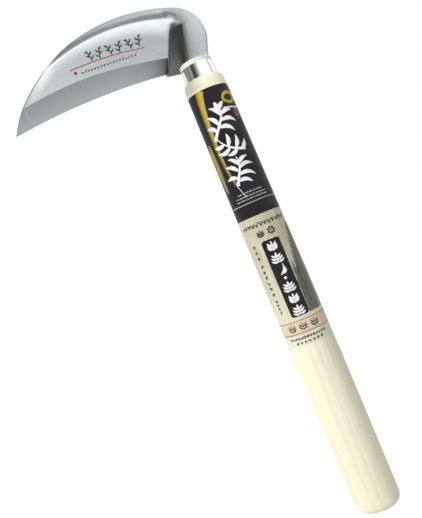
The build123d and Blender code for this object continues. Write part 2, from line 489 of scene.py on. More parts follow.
def build_blade(*metals):
    """The plate. Its metals are those of the web, the wide bevel, the narrow one and the rim."""
    flat, tris, lines = blade_mesh()
    a, b, c = (flat[tris[:, k]] for k in range(3))
    turned = (b - a)[:, 0] * (c - a)[:, 1] < (c - a)[:, 0] * (b - a)[:, 1]
    tris[turned] = tris[turned][:, [0, 2, 1]]
    x, z = flat.T
    y, step, from_foot, width = pressed(flat)
    front, back = y + ground(flat, from_foot), y + PLATE
    rounding = np.minimum(SHEARED_ROUNDING, LARGEST_ROUNDING * (back - front))
    gap = distance_to(flat, BLUNT_OUTLINE)
    into = np.clip(rounding - gap, 0, None)
    fall = rounding - np.sqrt(np.maximum(rounding**2 - into**2, 0))
    roll = EDGE_ROLL * np.exp(-gap / EDGE_ROLL_REACH) * (z > HANDLE_TOP + FLAT_AT_HANDLE)
    verts = [*zip(x, front + fall + roll, z), *zip(x, back - fall + roll, z)]
    count = len(flat)
    faces, borders = closed_sheet(tris.tolist(), count)
    kinds = [*triangle_kinds(flat, tris, from_foot), *[0] * len(tris), *[3] * len(borders)]
    blade = finished("blade_plate", verts, faces, metals, "blade", kinds)
    mesh = blade.data
    on_crank = eased(width, *WALL_WIDTHS) * eased(z, *WALL_TOP)
    store(mesh, "sheared_edge", np.exp(-gap / SHEARED_REACH))
    store(mesh, "down_bevel", eased(z, bevel_top_z(x), edge_z(x)))
    # Painted highlight: a lighter patch on the web near the tip, clear of the outline.
    store(mesh, "painted_tip_highlight", hill(x, *TIP_HIGHLIGHT) * eased(gap, *TIP_HIGHLIGHT_GAPS))
    # Painted shade round the step's corner.
    store(mesh, "painted_corner_shade", corner_shade_share(flat, step, width))
    # Painted shade: the crank wall's metal is darkened.
    store(mesh, "wall", eased(step, *WALL_FOOT) * eased(step, *WALL_CREST) * on_crank)
    # Painted shade on the bevel beside the crank wall.
    store(mesh, "painted_shade_beside_wall", np.exp(np.minimum(from_foot, 0) / CRANK_SHADE_REACH) * on_crank)
    # The face breaks sharply along the rim, the bevels' upper lines and the crest above the crank.
    crest = lines[-1]
    sharp_lines = [lines[0], lines[1], crest[crest[:, 1] > CRANK_TOP]]
    on_line = [distance_to(flat, line) < ON_LINE for line in sharp_lines]
    rim = {frozenset(pair) for pair in borders}
    sharp = []
    for edge in mesh.edges:
        i, j = edge.vertices
        is_rim = frozenset((i % count, j % count)) in rim and (i < count) == (j < count)
        is_line = i < count and j < count and any(line[i] and line[j] for line in on_line)
        sharp.append(is_rim or is_line)
    mesh.attributes.new("sharp_edge", "BOOLEAN", "EDGE").data.foreach_set("value", sharp)


def store(mesh, name, values):
    """Keeps a value for each flat point, on the front and on the back, for the materials."""
    layer = mesh.attributes.new(name, "FLOAT", "POINT")
    layer.data.foreach_set("value", np.tile(values, 2).astype(np.float32))


def corner_shade_share(flat, step, width):
    """How much painted shade darkens the step where it turns the corner, most of all on the crest."""
    x, z = flat.T
    along = eased(x, -8.5, -4.5) * eased(x, 3.0, -1.0) * eased(z, 326.0, 330.0)
    crest = hill((1 - step) * width, 0.5, 1.6)
    # The top of the wall, below the turn, gets painted shade too.
    top = hill(x, -3.6, 2.6) * hill(z, 327.2, 1.5) * eased(step, -0.05, 0.2)
    return 0.9 * np.maximum(along * crest, top)


# ---- materials


class Tree:
    """A node tree under construction, with one short call for each kind of node."""

    def __init__(self, tree, place):
        self.nodes, self.links = tree.nodes, tree.links
        self.place = self.add("ShaderNodeTexCoord", output=place)

    def add(self, kind, inputs=None, output=0, **settings):
        """Adds a node, fills its inputs by name or number, and returns one of its outputs."""
        node = self.nodes.new(kind)
        for key, value in settings.items():
            setattr(node, key, value)
        for key, value in (inputs or {}).items():
            self.plug(node.inputs[key], value)
        return node.outputs[output]

    def plug(self, socket, value):
        if isinstance(value, bpy.types.NodeSocket):
            self.links.new(value, socket)
        elif socket.type == "RGBA":
            socket.default_value = (*value, 1)
        else:
            socket.default_value = value

    def times(self, a, b):
        """Two vectors or colours multiplied part by part."""
        return self.add("ShaderNodeVectorMath", {0: a, 1: b}, operation="MULTIPLY")

    def stretched(self, x, y, z):
        """The place scaled by a factor on each axis."""
        return self.times(self.place, (x, y, z))

    def noise(self, vector, scale=1.0, detail=3.0, roughness=0.5):
        inputs = {"Vector": vector, "Scale": scale, "Detail": detail, "Roughness": roughness}
        return self.add("ShaderNodeTexNoise", inputs, "Fac")

    def ramp(self, value, low, high, bottom=0.0, top=1.0, **settings):
        """Takes low to bottom and high to top."""
        ends = {"From Min": low, "From Max": high, "To Min": bottom, "To Max": top}
        return self.add("ShaderNodeMapRange", {"Value": value, **ends}, "Result", **settings)

    def mix(self, share, a, b):
        return self.add("ShaderNodeMix", {0: share, 6: a, 7: b}, 2, data_type="RGBA")

    def math(self, operation, a, b=0.0):
        return self.add("ShaderNodeMath", {0: a, 1: b}, operation=operation)

    def part(self, share, strength):
        """A number times another, often a share times its strength."""
        return self.math("MULTIPLY", share, strength)

    def coordinate(self, axis):
        """The place's x, y or z: metres on an object."""
        return self.add("ShaderNodeSeparateXYZ", {0: self.place}, axis)


class Material(Tree):
    """A material's node tree. Settings of its surface are given with _ for each space."""

    def __init__(self, name, **values):
        self.data = bpy.data.materials.new(name)
        self.data.use_nodes = True
        super().__init__(self.data.node_tree, "Object")
        self.surface = self.nodes["Principled BSDF"]
        self.put(**values)

    def put(self, **values):
        for key, value in values.items():
            self.plug(self.surface.inputs[key.replace("_", " ")], value)

    def attribute(self, name):
        return self.add("ShaderNodeAttribute", output="Fac", attribute_name=name)

    def bump(self, height, strength, distance):
        inputs = {"Height": height, "Strength": strength, "Distance": distance * MM}
        self.put(Normal=self.add("ShaderNodeBump", inputs))


def stainless_web():
    m = Material("stainless_web", Metallic=1.0)
    brushed = m.noise(m.stretched(60, 3000, 3000), detail=4)
    cloud = m.noise(m.stretched(40, 40, 40), detail=2)
    tone = m.mix(m.ramp(brushed, 0.3, 0.7), (0.60, 0.645, 0.665), (0.67, 0.705, 0.72))
    # Painted highlight near the tip.
    tone = m.mix(m.attribute("painted_tip_highlight"), tone, (0.92, 0.95, 0.95))
    # Painted shade on the crank wall.
    tone = m.mix(m.attribute("wall"), tone, (0.40, 0.40, 0.395))
    # Painted shade where the step turns the corner.
    tone = m.mix(m.attribute("painted_corner_shade"), tone, (0.18, 0.19, 0.195))
    tone = m.mix(m.part(m.attribute("sheared_edge"), 0.9), tone, (0.25, 0.26, 0.27))
    m.put(Base_Color=tone, Roughness=m.ramp(cloud, 0.3, 0.7, 0.19, 0.25))
    m.bump(brushed, 0.12, 0.02)
    return m.data


def ground_bevel():
    m = Material("ground_bevel", Metallic=1.0)
    lines = m.noise(m.stretched(2600, 60, 60), detail=4)
    wide = m.noise(m.stretched(420, 20, 20), detail=2)
    grain = m.ramp(lines, 0.3, 0.7)
    upper = m.mix(grain, (0.28, 0.30, 0.31), (0.32, 0.345, 0.355))
    lower = m.mix(grain, (0.365, 0.39, 0.40), (0.415, 0.44, 0.45))
    tone = m.mix(m.attribute("down_bevel"), upper, lower)
    # Light grinding streaks gather near the tip.
    towards_tip = m.ramp(m.coordinate(0), -0.100, -0.112, 0.25, 1.0)
    tone = m.mix(m.part(m.ramp(wide, 0.58, 0.72), towards_tip), tone, (0.41, 0.43, 0.44))
    # Painted shade on the bevel where it meets the crank wall.
    tone = m.mix(m.attribute("painted_shade_beside_wall"), tone, (0.05, 0.052, 0.055))
    m.put(Base_Color=tone, Roughness=m.ramp(lines, 0.3, 0.7, 0.42, 0.52))
    m.bump(lines, 0.25, 0.02)
    return m.data


def metal(name, stretch, detail, dark, light, roughness, strength, distance):
    """Bare metal with one fine grain in its colour, its gloss and its relief."""
    m = Material(name, Metallic=1.0)
    grain = m.noise(m.stretched(*stretch), detail=detail)
    m.put(Base_Color=m.mix(grain, dark, light), Roughness=m.ramp(grain, 0.3, 0.7, *roughness))
    m.bump(grain, strength, distance)
    return m.data


def honed_edge():
    dark, light = (0.82, 0.83, 0.84), (0.93, 0.93, 0.93)
    return metal("honed_edge", (3200, 80, 80), 3, dark, light, (0.2, 0.3), 0.1, 0.01)


def sheared_rim():
    dark, light = (0.36, 0.37, 0.38), (0.55, 0.56, 0.57)
    return metal("sheared_rim", (900, 900, 900), 4, dark, light, (0.35, 0.55), 0.3, 0.05)


def pale_wood():
    m = Material("pale_wood")
    # Growth rings are round a pith outside the stick, so its sides show long, nearly straight lines.
    pith = (0.031, -0.022, 0)
    shifted = m.add("ShaderNodeVectorMath", {0: m.stretched(1, 1, 0.02), 1: pith}, operation="ADD")
    wave = {"Vector": shifted, "Scale": 75.0, "Distortion": 2.5, "Detail": 2.0, "Detail Scale": 0.6}
    rings = m.add("ShaderNodeTexWave", wave, "Fac", wave_type="RINGS", rings_direction="Z")
    sway = m.noise(m.stretched(30, 30, 4), detail=2)
    fibre = m.noise(m.stretched(1500, 1500, 26), detail=5)
    streak = m.noise(m.stretched(260, 260, 7), detail=3)
    tone = m.mix(m.ramp(streak, 0.3, 0.7), (0.85, 0.825, 0.625), (0.885, 0.87, 0.695))
    tone = m.mix(m.part(m.ramp(rings, 0.45, 0.95), 0.28), tone, (0.765, 0.715, 0.50))
    tone = m.mix(m.part(m.ramp(fibre, 0.55, 0.75), 0.25), tone, (0.72, 0.66, 0.46))
    # Painted shade: the shoulder is greyer on the blade's side. The end grain at the head is greyer too.
    across, along = m.coordinate(0), m.coordinate(2)
    shoulder = m.part(m.ramp(across, 0.001, -0.009), m.ramp(along, 0.277, 0.281))
    painted_shade_below_head = m.part(shoulder, m.ramp(along, 0.297, 0.295))
    tone = m.mix(m.part(painted_shade_below_head, 0.9), tone, (0.42, 0.415, 0.34))
    tone = m.mix(m.part(m.ramp(along, 0.295, 0.297), 0.85), tone, (0.66, 0.67, 0.61))
    m.put(Base_Color=tone, Roughness=m.ramp(sway, 0.3, 0.7, 0.5, 0.62), Specular_IOR_Level=0.35)
    m.bump(fibre, 0.18, 0.08)
    return m.data


def bright_plating():
    m = Material("bright_plating", Metallic=1.0)
    haze = m.noise(m.stretched(120, 120, 300), detail=3)
    rub = m.noise(m.stretched(300, 300, 5000), detail=3)
    tone = m.mix(haze, (0.86, 0.86, 0.84), (0.93, 0.925, 0.90))
    m.put(Base_Color=tone, Roughness=m.ramp(haze, 0.3, 0.7, 0.06, 0.13))
    m.bump(rub, 0.06, 0.02)
    return m.data


def pin_steel():
    dark, light = (0.38, 0.38, 0.39), (0.5, 0.5, 0.51)
    return metal("pin_steel", (2500, 60, 2500), 3, dark, light, (0.35, 0.5), 0.2, 0.02)


def film(name, dark, light, coat, specular, pale=None):
    """Printed film: a slightly mottled ground under a clear gloss, with faint ripples."""
    m = Material(name)
    mottle = m.noise(m.stretched(90, 90, 60), detail=3)
    dots = m.noise(m.stretched(3500, 3500, 3500), detail=1)
    tone = m.mix(m.ramp(mottle, 0.35, 0.65), dark, light)
    if pale:
        # The ground lightens towards the label's lower end, with soft upright wisps above it.
        wisps = m.noise(m.stretched(420, 420, 45), detail=4)
        shaded = tuple(0.80 * c for c in dark)
        tone = m.mix(m.part(m.ramp(wisps, 0.45, 0.65), 0.6), tone, shaded)
        tone = m.mix(m.ramp(m.coordinate(2), *FADE_HEIGHTS), pale, tone)
    tone = m.mix(m.part(dots, 0.12), tone, light)
    m.put(Base_Color=tone, Roughness=m.ramp(mottle, 0.3, 0.7, 0.42, 0.50))
    m.put(Specular_IOR_Level=specular, Coat_Weight=coat, Coat_Roughness=0.12)
    m.bump(m.noise(m.stretched(140, 140, 70), detail=2), 0.25, 0.15)
    return m.data


def ink(name, colour, second, roughness=0.4, metallic=0.0, specular=0.5, low=None):
    """Printing ink in two patchy tones. Gold has another tone low on the label."""
    m = Material(name, Metallic=metallic, Specular_IOR_Level=specular)
    patch = m.noise(m.stretched(700, 700, 700), detail=3)
    tone = m.mix(m.ramp(patch, 0.3, 0.7), colour, second)
    if low:
        tone = m.mix(m.ramp(m.coordinate(2), *FADE_HEIGHTS_GOLD), low, tone)
    m.put(Base_Color=tone, Roughness=m.ramp(patch, 0.3, 0.7, roughness, roughness + 0.1))
    m.bump(patch, 0.08, 0.01)
    return m.data


def grass_print():
    """A printed band of out-of-focus grass: upright soft streaks in grey green."""
    m = Material("grass_print", Roughness=0.4, Coat_Weight=0.4, Coat_Roughness=0.15)
    blades = m.noise(m.stretched(900, 900, 90), detail=5, roughness=0.65)
    patch = m.noise(m.stretched(120, 120, 60), detail=3)
    tone = m.mix(m.ramp(blades, 0.32, 0.68), (0.022, 0.025, 0.017), (0.095, 0.10, 0.07))
    tone = m.mix(m.ramp(patch, 0.35, 0.7), tone, (0.08, 0.075, 0.055))
    # Painted shade: the print darkens towards the handle's shaded side, at +x.
    tone = m.mix(m.ramp(m.coordinate(0), 0.009, 0.0145, 0.0, 0.6), tone, (0.02, 0.022, 0.015))
    m.put(Base_Color=tone)
    return m.data


# ---- handle's side and the wraps

GRIP_TOP = 96.0
SHOULDER_RADIUS = 13.2
SHOULDER_HEIGHT = 284.0
# How far a film's outer and inner face lie above the wood, and how far its lapped end is lifted.
FILM_TOP = 0.045
FILM_FOOT = 0.005
LAP_TOP = 0.052
LAP_FOOT = 0.042
LAP_SHARES = (0.93, 0.975)
OVERLAP = 8.0
# One print's thickness, its margin inside a label, and the print's centre line round the handle.
INK_LIFT = 0.02
PRINT_MARGIN = 0.05
PRINT_CENTRE = -4.2
# How far a band that goes round the handle stops short of the middle of the back.
BAND_GAP = 0.4
BAND_STEPS = 120


def taper_radius(z):
    """Radius of the handle over the grip and up its straight taper."""
    share = (z - GRIP_TOP) / (SHOULDER_HEIGHT - GRIP_TOP)
    return GRIP_RADIUS + (SHOULDER_RADIUS - GRIP_RADIUS) * np.clip(share, 0, 1)


def on_handle(flat, lift):
    """Points at flat distances round the handle from the print's centre line, lift above the wood."""
    u, z = flat.T
    radius = taper_radius(z)
    angle = radians(PRINT_CENTRE) + u / radius
    return np.stack([(radius + lift) * np.sin(angle), -(radius + lift) * np.cos(angle), z], axis=1)


def build_wrap(name, span, metal, node, around=180, rows=72):
    """A film wrapped once round the handle, with its end lapped over its start at the back."""
    outer, inner = [], []
    for share in np.linspace(0, 1, around + 1):
        turn = radians(180.0 - OVERLAP + (360.0 + OVERLAP) * share)
        lap = eased(share, *LAP_SHARES)
        for z in np.linspace(*span, rows + 1):
            for points, foot, rise in ((outer, FILM_TOP, LAP_TOP), (inner, FILM_FOOT, LAP_FOOT)):
                radius = taper_radius(z) + foot + rise * lap
                points.append((radius * sin(turn), -radius * cos(turn), z))
    faces, _ = closed_sheet(grid_faces(around, rows), len(outer))
    wrap = finished(name, outer + inner, faces, [metal], node)
    mark_sharp(wrap, 40)


def mark_sharp(obj, limit):
    """Marks the edges where the faces turn by more than a limit in degrees."""
    work = bmesh.new()
    work.from_mesh(obj.data)
    for edge in work.edges:
        edge.smooth = len(edge.link_faces) == 2 and edge.calc_face_angle(0) < radians(limit)
    work.to_mesh(obj.data)
    work.free()


# ---- print: strokes laid on a surface


class Print:
    """Collects strokes in flat millimetres and lays them on a surface as one thin mesh."""

    def __init__(self, slot, surface):
        self.slot, self.surface = slot, surface
        self.verts, self.faces = [], []

    def stroke(self, path, width, samples, across):
        """A stroke along a curve through a few points; width is a number or a function of 0..1."""
        path = np.array(path, float)
        if len(path) == 2:
            path = np.array([path[0], path.mean(0), path[1]])
        shares = np.linspace(0, 1, samples + 1)
        curve = np.polyfit(np.linspace(0, 1, len(path)), path, min(len(path) - 1, 4))
        spine = np.stack([np.polyval(column, shares) for column in curve.T], axis=1)
        ahead = np.gradient(spine, axis=0)
        ahead /= np.maximum(np.hypot(*ahead.T), TINY)[:, None]
        side = np.stack([-ahead[:, 1], ahead[:, 0]], axis=1)
        quads = grid_faces(samples, across, len(self.verts))
        self.faces += [(a, d, c, b) for a, b, c, d in quads]
        for share, middle, way in zip(shares, spine, side):
            half = (width(share) if callable(width) else width) / 2
            self.verts += [tuple(middle + way * half * k) for k in np.linspace(1, -1, across + 1)]

    def leaf(self, base, tip, width, bend=0.0, samples=12):
        """A brushed leaf from its stalk to its point."""
        base, tip = np.array(base, float), np.array(tip, float)
        run = tip - base
        middle = (base + tip) / 2 + bend * np.array([-run[1], run[0]])

        def swell(share):
            return width * (0.06 + sin(pi * (0.98 * share) ** 0.8))

        self.stroke([base, middle, tip], swell, samples, 3)

    def dot(self, centre, radius):
        """A round dot."""
        x, z = centre

        def chord(share):
            return 2 * radius * sqrt(max(0.0, 1 - (2 * share - 1) ** 2)) + 1e-3

        self.stroke([(x - radius, z), (x + radius, z)], chord, 12, 4)

    def ring(self, centre, radii, width, samples=48):
        """A closed oval band round a centre."""
        base = len(self.verts)
        for i in range(samples):
            way = (cos(2 * pi * i / samples), sin(2 * pi * i / samples))
            for half in (-width / 2, width / 2):
                self.verts.append(tuple(c + (r + half) * w for c, r, w in zip(centre, radii, way)))
        for i in range(samples):
            a, b = base + 2 * i, base + 2 * ((i + 1) % samples)
            self.faces.append((a, a + 1, b + 1, b))

    def band(self, z, edge, width, across=1):
        """A level band round the front, between two edges at the back."""
        self.stroke([(-edge, z), (0, z), (edge, z)], width, BAND_STEPS, across)

    def trim(self, low, high):
        """Keeps the strokes so far between two heights."""
        low, high = low + PRINT_MARGIN, high - PRINT_MARGIN
        self.verts = [(u, min(max(z, low), high)) for u, z in self.verts]

    def panel(self, low, high, corner):
        """An upright rectangle with rounded corners."""
        (x0, z0), (x1, z1) = low, high

        def width(share):
            into = min(corner, min(share, 1 - share) * (z1 - z0))
            return x1 - x0 - 2 * (corner - sqrt(corner**2 - (corner - into) ** 2))

        middle = (x0 + x1) / 2
        self.stroke([(middle, z0), (middle, z1)], width, 64, 14)

    def lay(self, name, material, level=1.0):
        """Makes the mesh: a closed film on the surface, as thick as that many prints."""
        flat = np.array(self.verts, float)
        both = np.vstack([self.surface(flat, INK_LIFT * level), self.surface(flat, 0.0)])
        faces, _ = closed_sheet(self.faces, len(flat))
        finished(name, both, faces, [material])


def on_film(flat, lift):
    """Points on a label, lift above its film."""
    return on_handle(flat, FILM_TOP + lift)


def on_blade(flat, lift):
    """Points on the blade's front, lift above the metal."""
    return np.stack([flat[:, 0], front_y(flat) - lift, flat[:, 1]], axis=1)


rng = random.Random(LABEL_SEED)


def tuft(sheet, centre, size, weight):
    """A small tuft of grass: blades that fan out from one foot."""
    x, z = centre
    for lean in (-0.45, -0.15, 0.15, 0.45):
        tip = (x + (lean + rng.uniform(-0.1, 0.1)) * size, z + rng.uniform(0.0, 0.5) * size)
        sheet.stroke([(x, z - 0.5 * size), tip], weight, 3, 1)


def tuft_row(sheet, start, end, size, count, weight):
    """Tufts in a row, where a label of this kind has a line of print."""
    for x, z in np.linspace(start, end, count):
        tuft(sheet, (x, z), size * rng.uniform(0.85, 1.1), weight)


# ---- upper label


def sprig(sheet, stem, thick, leaves, width):
    """A brushed sprig: a stem that thins towards its tip, and bent leaves from foot to tip."""
    sheet.stroke(stem, lambda share: thick * (1.0 - 0.75 * share), 24, 5)
    for foot, tip, bend in leaves:
        sheet.leaf(foot, tip, width, bend)


# Three brushed sprigs down the label: a stem, its thickness, its leaves and their width.
UPPER_SPRIGS = [
    ([(-7.4, 246.8), (-3.7, 252.0), (0.4, 257.3), (2.7, 262.8), (1.4, 268.8)], 2.1, [
        ((-4.2, 251.4), (-10.0, 255.4), -0.20), ((-1.6, 254.6), (-7.0, 261.8), -0.16),
        ((1.8, 259.8), (-3.6, 266.6), -0.16), ((-2.4, 253.4), (6.6, 248.8), 0.20),
        ((0.2, 257.0), (10.0, 254.2), 0.20), ((2.0, 260.6), (9.6, 261.8), 0.16),
        ((2.6, 263.8), (6.6, 268.2), 0.12), ((2.4, 262.5), (0.8, 269.2), 0.06),
    ], 2.5),
    ([(8.8, 236.6), (3.4, 238.2), (-1.8, 241.6), (-5.8, 247.4)], 2.0, [
        ((6.0, 237.2), (10.2, 242.6), -0.16), ((2.6, 238.6), (5.4, 246.4), -0.14),
        ((-1.4, 240.8), (0.2, 248.8), -0.12), ((3.6, 238.2), (-3.6, 236.2), 0.16),
        ((-0.2, 240.4), (-9.4, 239.2), 0.20), ((-3.2, 243.0), (-10.2, 243.4), 0.12),
    ], 2.5),
    ([(-4.8, 216.6), (-2.4, 221.6), (0.2, 226.8), (0.6, 233.8)], 2.1, [
        ((-3.8, 218.8), (4.6, 216.0), 0.20), ((-2.2, 222.2), (8.4, 219.6), 0.20),
        ((-0.2, 226.0), (9.2, 226.6), 0.20), ((0.6, 228.8), (7.4, 232.4), 0.14),
        ((-3.0, 220.6), (-10.4, 221.6), -0.16), ((-1.2, 224.4), (-8.6, 229.4), -0.16),
        ((0.3, 228.0), (-4.8, 233.6), -0.16),
    ], 2.3),
]
GOLD_STALK = [(-4.9, 278.8), (-7.2, 266), (-8.3, 251), (-8.2, 236), (-7.5, 226), (-5.8, 217.3)]
SIDE_STALK = [(-15.0, 247.0), (-15.6, 232), (-14.9, 215)]


def stalks(main, side, across):
    """One layer of the two gold stalks.

    Main holds the stalk's shift, its width at the top, what its foot loses and the taper's power.
    Side holds the other stalk's shift, its least width and its swell."""
    sheet = Print("black_film", on_film)
    shift, top, lost, power = main
    path = [(u + shift, z) for u, z in GOLD_STALK]
    sheet.stroke(path, lambda share: top - lost * share**power, 60, across)
    shift, least, swell = side
    path = [(u + shift, z) for u, z in SIDE_STALK]
    sheet.stroke(path, lambda share: least + swell * sin(pi * (0.12 + 0.8 * share)), 40, across)
    sheet.trim(*UPPER_SPAN)
    return sheet


def build_upper_label():
    black = film("black_film", (0.0065, 0.007, 0.0095), (0.011, 0.012, 0.016), 0.10, 0.22)
    build_wrap("label_upper", UPPER_SPAN, black, "upper_label")

    bronze = ink("bronze_ink", (0.055, 0.042, 0.010), (0.10, 0.075, 0.02), specular=0.3)
    stalks((-0.5, 6.6, 5.4, 0.8), (0.3, 0.6, 6.4), 12).lay("label_upper_shade", bronze)

    low = (0.30, 0.245, 0.075)
    gold = ink("gold_ink", (0.52, 0.37, 0.035), (0.42, 0.29, 0.025), 0.4, 0.3, 0.4, low)
    sheet = stalks((0.0, 5.2, 4.7, 0.7), (0.0, 0.3, 4.6), 10)
    sheet.ring((12.0, 270.0), (4.4, 3.2), 2.0)
    sheet.lay("label_upper_gold", gold, 2)

    low = (0.40, 0.35, 0.13)
    pale = ink("pale_gold_ink", (0.60, 0.47, 0.10), (0.50, 0.38, 0.07), 0.4, 0.2, 0.4, low)
    stalks((0.5, 1.3, 1.0, 1.0), (0.4, 0.1, 1.0), 3).lay("label_upper_glint", pale, 3)

    white = Print("black_film", on_film)
    for stem, thick, leaves, width in UPPER_SPRIGS:
        sprig(white, stem, thick, leaves, width)
    white.stroke([(-5.8, 217.3), (-4.4, 213), (-2.7, 208.4)], 0.35, 8, 1)
    white.stroke([(5.2, 264.0), (11.5, 263.4), (18.1, 262.8)], 1.0, 12, 2)
    white.lay("label_upper_white", ink("white_ink", (0.90, 0.87, 0.86), (0.83, 0.80, 0.79)), 4)

    # Dashes in three rows, where a label of this kind has small print, above a thin line.
    fine = Print("black_film", on_film)
    for z, left, right in ((211.0, -8.0, 8.5), (208.9, -10.4, 10.4), (207.0, -10.4, 10.4)):
        x = left
        while x < right:
            run = rng.uniform(0.7, 2.2)
            fine.stroke([(x, z), (min(x + run, right), z)], rng.uniform(0.55, 0.85), 2, 1)
            x += run + rng.uniform(0.2, 0.5)
    line = 204.6
    fine.band(line, pi * taper_radius(line) - BAND_GAP, 0.6)
    fine.lay("label_upper_fine_print", ink("pale_ink", (0.42, 0.43, 0.42), (0.30, 0.31, 0.31)))

    red = Print("black_film", on_film)
    red.dot((13.6, 259.4), 2.6)
    red.lay("label_upper_red", ink("dull_red_ink", (0.22, 0.06, 0.06), (0.13, 0.04, 0.045)))


# ---- lower label

# The grass picture's left border on the lower label, and where its right border lies.
GRASS_BORDER = [(130.0, 6.1), (140.0, 6.3), (152.8, 7.4), (165.0, 11.9), (186.0, 16.1)]
GRASS_END = 27.0
# Heights of the tufts in the column beside the panel.
COLUMN_HEIGHTS = (178.0, 174.6, 170.8, 165.6, 161.8, 158.3, 154.2, 150.8, 147.0)
LOW_COLUMN_HEIGHTS = (142.3, 139.9, 137.6, 135.2)
# Tones of the blades of grass, the lowest layer first.
GRASS_TONES = {
    "shadow": (0.022, 0.025, 0.017),
    "olive": (0.08, 0.086, 0.05),
    "straw": (0.155, 0.155, 0.105),
}
ROSE_HEIGHT = 123.4
BORDER_BLADES = 60
ALL_BLADES = 150


def ear(sheet, centre, height, width, weight):
    """A stylised ear of grass: an upright stalk with three pairs of leaves and one at the top."""
    x, z = centre
    sheet.stroke([(x, z - height / 2), (x, z + height / 2)], weight, 4, 1)
    for low, high, reach in ((-0.42, -0.22, 0.5), (-0.16, 0.10, 0.46), (0.08, 0.36, 0.36)):
        for way in (-1, 1):
            tip = (x + way * reach * width, z + high * height)
            sheet.leaf((x, z + low * height), tip, weight * 1.7, -0.12 * way)
    sheet.leaf((x, z + 0.1 * height), (x, z + 0.54 * height), weight * 1.7)


def sprout(sheet, centre, size, weight):
    """A sprout: a stalk with two pairs of leaves that bend upwards."""
    x, z = centre
    half = size / 2
    sheet.stroke([(x, z - half), (x, z + half)], weight, 4, 1)
    for low, high, reach in ((-0.7, 0.25, 0.95), (-0.1, 0.85, 0.8)):
        for way in (-1, 1):
            tip = (x + way * reach * half, z + high * half)
            sheet.leaf((x, z + low * half), tip, weight * 1.9, -0.2 * way)


def flower(sheet, centre, radius, petals=7):
    """A round flower: petals round a dot."""
    x, z = centre
    for i in range(petals):
        way = (cos(2 * pi * i / petals), sin(2 * pi * i / petals))
        foot, tip = [(x + share * radius * way[0], z + share * radius * way[1]) for share in (0.32, 1.0)]
        sheet.leaf(foot, tip, 0.55 * radius)
    sheet.dot(centre, 0.2 * radius)


def build_grass():
    """The grass picture: a soft ground, and blades that hide its border and give it depth."""
    heights, sides = zip(*GRASS_BORDER)
    low, high = heights[0], heights[-1]
    ground_sheet = Print("cream_film", on_film)
    rows, columns = 60, 24
    for z in np.linspace(low, high, rows + 1):
        side = np.interp(z, heights, sides)
        ground_sheet.verts += [(u, z) for u in np.linspace(side, GRASS_END, columns + 1)]
    ground_sheet.faces = grid_faces(rows, columns)
    ground_sheet.lay("label_lower_grass", grass_print(), 0.8)

    sheets = {kind: Print("cream_film", on_film) for kind in GRASS_TONES}
    for i in range(ALL_BLADES):
        z = rng.uniform(low, high - 6.0)
        foot = np.interp(z, heights, sides)
        kind = rng.choice(list(GRASS_TONES))
        if i < BORDER_BLADES:
            foot += rng.uniform(0.2, 1.4)
            kind = rng.choice(("olive", "straw"))
            reach = rng.uniform(3.0, 7.0)
        else:
            foot += rng.uniform(1.2, 16.0)
            reach = rng.uniform(3.0, 8.0)
        tip_z = min(z + reach, high + 1.0)
        lean = rng.uniform(-2.2, 0.4)
        if z < 156.0:
            # Beside the panel's lower half the blades stay clear of it.
            lean = max(lean, 6.6 - foot)
        width, bend = rng.uniform(0.35, 0.7), rng.uniform(-0.12, 0.12)
        sheets[kind].leaf((foot, z), (foot + lean, tip_z), width, bend, 8)
    for layer, (kind, sheet) in enumerate(sheets.items()):
        tone = GRASS_TONES[kind]
        blade_ink = ink(kind + "_ink", tone, tuple(0.85 * c for c in tone))
        sheet.lay("label_lower_grass_" + kind, blade_ink, 1.1 + 0.25 * layer)


